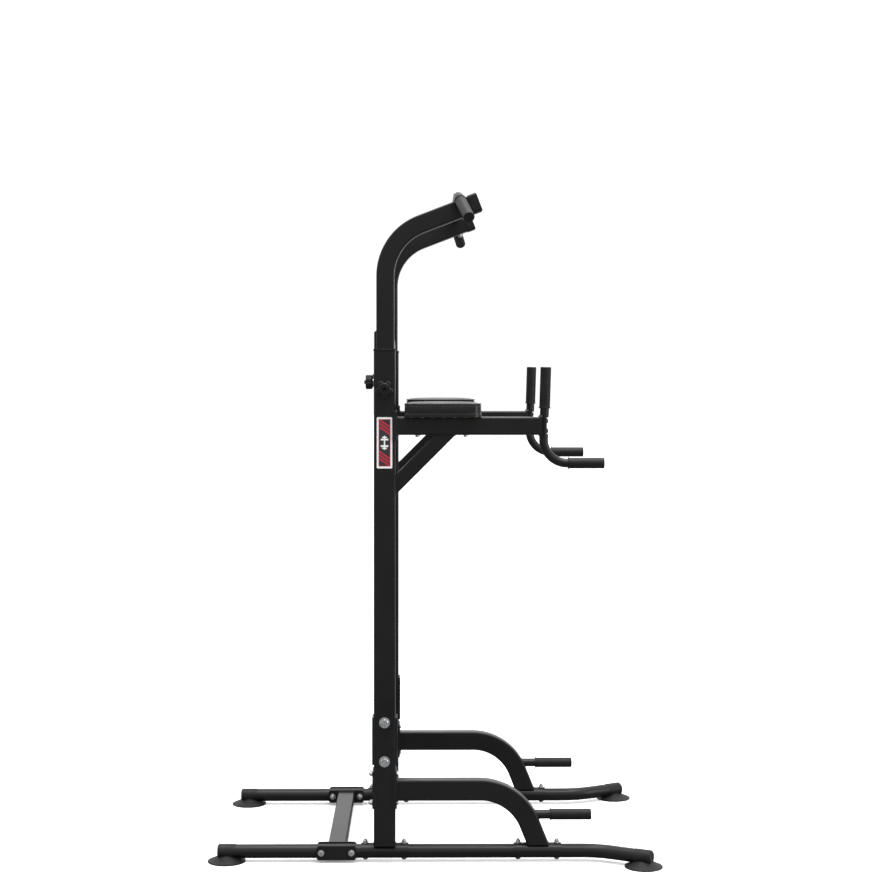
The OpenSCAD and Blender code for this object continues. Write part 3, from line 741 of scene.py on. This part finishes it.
def straight(x, y0, y1, count=12):
    return [Vector((x, y0 + (y1 - y0) * i / (count - 1))) for i in range(count)]


for side, sign in (("left", -1), ("right", 1)):
    low, high = (Vector(v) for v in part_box(f"elbow_pad_{side}"))
    mid = (low + high) / 2
    seat = Seat((mid.x, mid.y, low.z + 0.001), (sign, 0, 0), (0, 1, 0), (0, 0, 1))
    w, l = high.x - low.x, high.y - low.y
    upholster(f"elbow_cushion_{side}", f"elbow_pad_{side}", seat, w, l,
              high.z - low.z - THINNER, (0.008, 0.008, 0.03, 0.03))
    edges = []
    rows = []
    for s in (-1, 1):
        ends = (-l / 2 + 0.032, l / 2 - 0.009)
        edges.append((straight(s * (w / 2 - 0.021), *ends), straight(s * (w / 2 - 0.0012), *ends), False))
        row = straight(s * (w / 2 - 0.012), -l / 2 + 0.045, l / 2 - 0.02, 6)
        rows += [(p, Vector((0, 1))) for p in row]
    turned_under(f"elbow_cushion_{side}", seat, edges, rows)

low, high = (Vector(v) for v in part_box("back_pad"))
mid = (low + high) / 2
seat = Seat((mid.x, high.y - 0.001, mid.z), (-1, 0, 0), (0, 0, 1), (0, -1, 0))
w, l = high.x - low.x, high.z - low.z
upholster("back_cushion", "back_pad", seat, w, l, high.y - low.y - THINNER, (0.03,) * 4)
inner = outline(w - 0.042, l - 0.042, (0.009,) * 4)
outer = outline(w - 0.0024, l - 0.0024, (0.0288,) * 4)
rows = along_line(outline(w - 0.024, l - 0.024, (0.018,) * 4), 0.03)
turned_under("back_cushion", seat, [(inner, outer, True)], rows)


# ---------------------------------------------------------------- welds

def flat_loop(centre, u, v, w, h, r):
    """A round-cornered w by h line about a centre, across the directions u and v."""
    centre, u, v = Vector(centre), Vector(u), Vector(v)
    return [centre + u * p.x + v * p.y for p in outline(w, h, (r,) * 4, 4)]


X, Y, Z = (1, 0, 0), (0, 1, 0), (0, 0, 1)
SIDE = 0.32
FRONT, BACK = 0.107, 0.167
MID_Y = (FRONT + BACK) / 2
ARM_Z, ARM_END = 1.212, -0.293
STRUT_Z = 1.048
BRACE_Z = 0.2
JOINT_Z = 0.337
RAIL_Z = 0.028
BEAM_Y = 0.271
STUB_Z, STUB_R = 0.129, 0.0127
BEND_Y, BEND_Z, BEND_R = -0.126, 0.049, 0.1795  # the J-brace's outer curve
BEAD = 0.0019
KNOB_Z, PIN_Z = 1.314, 1.334
SADDLE_Y = (-0.3195, -0.2575)  # the two ends of the brace's foot on its saddle
POST_X = (0.055, 0.095)  # the two sides of each post that carries the back pad


def stub_line():
    """Where the push-up handle's stub leaves the curved front of the J-brace."""
    out = []
    for k in range(24):
        a = 2 * math.pi * k / 24
        z = STUB_Z + STUB_R * math.sin(a)
        y = BEND_Y - math.sqrt(BEND_R ** 2 - (z - BEND_Z) ** 2)
        out.append(Vector((SIDE + STUB_R * math.cos(a), y, z)))
    return out


CLOSED_WELDS = [
    (flat_loop((SIDE, FRONT - 0.004, ARM_Z), X, Z, 0.0504, 0.0504, 0.005), BEAD),
    (flat_loop((SIDE, FRONT, STRUT_Z), X, Z, 0.0404, 0.057, 0.005), BEAD),
    (flat_loop((SIDE, FRONT - 0.139, ARM_Z - 0.025), X, Y, 0.0404, 0.057, 0.005), BEAD),
    (flat_loop((SIDE, FRONT - 0.004, BRACE_Z), X, Z, 0.0404, 0.0574, 0.005), BEAD),
    (flat_loop((SIDE, ARM_END, ARM_Z), X, Z, 0.0502, 0.0502, 0.005), 0.0012),
    (flat_loop((SIDE - 0.03, MID_Y, ARM_Z), Y, Z, 0.0404, 0.0504, 0.005), BEAD),
    (flat_loop((SIDE - 0.035, MID_Y, JOINT_Z), Y, Z, 0.0404, 0.0604, 0.005), BEAD),
    (flat_loop((SIDE - 0.023, BEAM_Y, RAIL_Z), Y, Z, 0.0504, 0.0304, 0.004), 0.0017),
    (flat_loop((SIDE + 0.03, MID_Y, KNOB_Z), Y, Z, 0.0244, 0.0244, 0.0121), 0.0013),
    (flat_loop((SIDE, BACK, PIN_Z), X, Z, 0.0204, 0.0204, 0.0101), 0.0012),
    (stub_line(), 0.0017),
]
OPEN_WELDS = [
    ([Vector((SIDE - h, y, z)), Vector((SIDE + h, y, z))], 0.0018) for y, h, z in (
    (FRONT, 0.009, 0.0492), (BACK, 0.009, 0.0492),
    (SADDLE_Y[0], 0.008, 0.0495), (SADDLE_Y[1], 0.008, 0.0495))]
OPEN_WELDS += [
    ([Vector((x, BACK - 0.01, ARM_Z - 0.019)), Vector((x, BACK - 0.01, ARM_Z + 0.019))], 0.0014)
    for x in POST_X]

WAVE = 0.13  # how strongly a bead ripples, as a part of its radius

beads = []
for sign in (-1, 1):
    for points, radius in CLOSED_WELDS:
        line = spaced([Vector((p.x * sign, p.y, p.z)) for p in points], 0.001)
        beads.append(tube_along(line, radius, 8, True, WAVE))
    for points, radius in OPEN_WELDS:
        line = spaced([Vector((p.x * sign, p.y, p.z)) for p in points], 0.001, False)
        beads.append(tube_along(line, radius, 8, False, WAVE))
new_object("weld_beads", mesh_of("weld_beads", beads), FINISH["black_powder_coat"])
